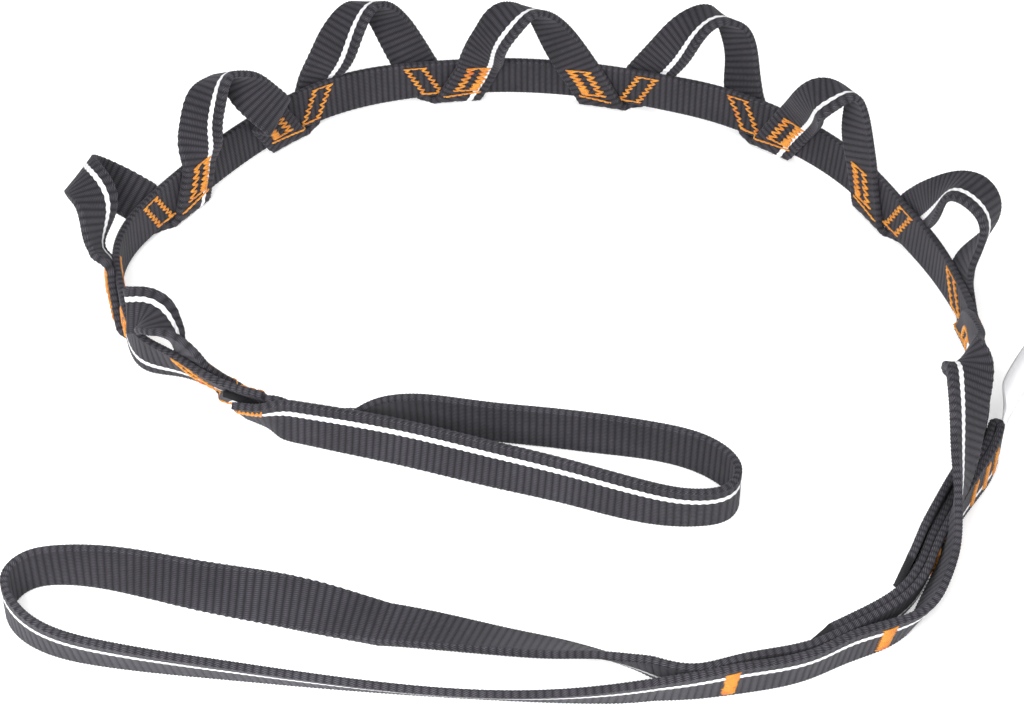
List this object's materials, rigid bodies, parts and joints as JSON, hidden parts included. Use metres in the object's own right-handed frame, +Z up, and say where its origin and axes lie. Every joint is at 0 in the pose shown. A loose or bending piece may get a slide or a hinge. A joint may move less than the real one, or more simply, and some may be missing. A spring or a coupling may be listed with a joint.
{
  "type": "daisy chain",
  "caption": "Sewn webbing daisy chain with a row of stitched pocket loops and an end loop at each end, laid in an arch on its edge.",
  "frame": {"origin": "middle of the bounding box, on the surface that the chain lies on", "axes": "+X to the right along the arch, +Y away from the end loops towards the top of the arch, +Z up; the tape stands on its edge"},
  "size_m": [0.3308, 0.3187, 0.0491],
  "materials": {
    "webbing": "matte",
    "thread": "satin",
    "label": "matte"
  },
  "bodies": {
    "chain": {"backbone_webbing": "webbing", "box_stitch_0_in": "thread", "box_stitch_0_out": "thread", "box_stitch_1_in": "thread", "box_stitch_1_out": "thread", "box_stitch_2_in": "thread", "box_stitch_2_out": "thread", "box_stitch_3_in": "thread", "box_stitch_3_out": "thread", "box_stitch_4_in": "thread", "box_stitch_4_out": "thread", "box_stitch_5_in": "thread", "box_stitch_5_out": "thread", "box_stitch_6_in": "thread", "box_stitch_6_out": "thread", "box_stitch_7_in": "thread", "box_stitch_7_out": "thread", "box_stitch_8_in": "thread", "box_stitch_8_out": "thread", "folded_tab": "webbing", "front_bar_tack_1": "thread", "front_bar_tack_2": "thread", "sewn_fold_0": "webbing", "sewn_fold_1": "webbing", "sewn_fold_2": "webbing", "sewn_fold_3": "webbing", "sewn_fold_4": "webbing", "sewn_fold_5": "webbing", "sewn_fold_6": "webbing", "sewn_fold_7": "webbing", "sewn_fold_8": "webbing", "tab_bar_tack_1": "thread", "tab_bar_tack_2": "thread", "tab_bar_tack_3": "thread", "tab_bar_tack_4": "thread", "tab_bar_tack_5": "thread", "tab_bar_tack_6": "thread", "tail_outer_layer": "webbing"},
    "end_a": {"end_loop_a": "webbing"},
    "end_b": {"end_loop_b": "webbing"},
    "label_flap": {"label": "label"},
    "loop_0": {"pocket_loop_0": "webbing"},
    "loop_1": {"pocket_loop_1": "webbing"},
    "loop_2": {"pocket_loop_2": "webbing"},
    "loop_3": {"pocket_loop_3": "webbing"},
    "loop_4": {"pocket_loop_4": "webbing"},
    "loop_5": {"pocket_loop_5": "webbing"},
    "loop_6": {"pocket_loop_6": "webbing"},
    "loop_7": {"pocket_loop_7": "webbing"},
    "loop_8": {"pocket_loop_8": "webbing"}
  },
  "joints": [
    {"name": "pocket_loop_0_swing", "type": "hinge", "parent": "chain", "child": "loop_0", "pos_m": [-0.12551, -0.0074, 0.01946], "axis": [-0.7387, 0.674, 0.0016], "range_deg": [-2, 9], "stiffness_Nm_per_rad": 0.03},
    {"name": "pocket_loop_1_swing", "type": "hinge", "parent": "chain", "child": "loop_1", "pos_m": [-0.14423, 0.0453, 0.01951], "axis": [0.3569, 0.9341, -0.003], "range_deg": [-8, 7], "stiffness_Nm_per_rad": 0.03},
    {"name": "pocket_loop_2_swing", "type": "hinge", "parent": "chain", "child": "loop_2", "pos_m": [-0.10782, 0.09558, 0.01968], "axis": [0.6299, 0.7766, -0.0019], "range_deg": [-12, 12], "stiffness_Nm_per_rad": 0.03},
    {"name": "pocket_loop_3_swing", "type": "hinge", "parent": "chain", "child": "loop_3", "pos_m": [-0.06257, 0.13685, 0.01938], "axis": [0.9483, 0.3171, 0.0106], "range_deg": [-12, 12], "stiffness_Nm_per_rad": 0.03},
    {"name": "pocket_loop_4_swing", "type": "hinge", "parent": "chain", "child": "loop_4", "pos_m": [-0.0008, 0.1387, 0.01915], "axis": [0.9981, -0.0615, -0.0001], "range_deg": [-12, 12], "stiffness_Nm_per_rad": 0.03},
    {"name": "pocket_loop_5_swing", "type": "hinge", "parent": "chain", "child": "loop_5", "pos_m": [0.06061, 0.13083, 0.0195], "axis": [0.9413, -0.3374, -0.0085], "range_deg": [-12, 12], "stiffness_Nm_per_rad": 0.03},
    {"name": "pocket_loop_6_swing", "type": "hinge", "parent": "chain", "child": "loop_6", "pos_m": [0.10755, 0.09164, 0.01967], "axis": [0.6339, -0.7734, -0.0004], "range_deg": [-12, 12], "stiffness_Nm_per_rad": 0.03},
    {"name": "pocket_loop_7_swing", "type": "hinge", "parent": "chain", "child": "loop_7", "pos_m": [0.141, 0.03962, 0.01942], "axis": [0.3516, -0.9362, 0.0013], "range_deg": [-12, 12], "stiffness_Nm_per_rad": 0.03},
    {"name": "pocket_loop_8_swing", "type": "hinge", "parent": "chain", "child": "loop_8", "pos_m": [0.13813, -0.05446, 0.01504], "axis": [-0.1773, -0.9799, -0.0915], "range_deg": [-4, 6], "stiffness_Nm_per_rad": 0.03},
    {"name": "end_loop_a_swing", "type": "hinge", "parent": "chain", "child": "end_a", "pos_m": [-0.08409, -0.0368, 0.00809], "axis": [0, 0, 1], "range_deg": [-8, 3]},
    {"name": "end_loop_b_swing", "type": "hinge", "parent": "chain", "child": "end_b", "pos_m": [0.03311, -0.1474, 0.00809], "axis": [0, 0, 1], "range_deg": [-7, 7]},
    {"name": "label_swing", "type": "hinge", "parent": "chain", "child": "label_flap", "pos_m": [0.15051, -0.0462, 0.00809], "axis": [0, 0, 1], "range_deg": [-20, 12], "stiffness_Nm_per_rad": 0.003}
  ]
}
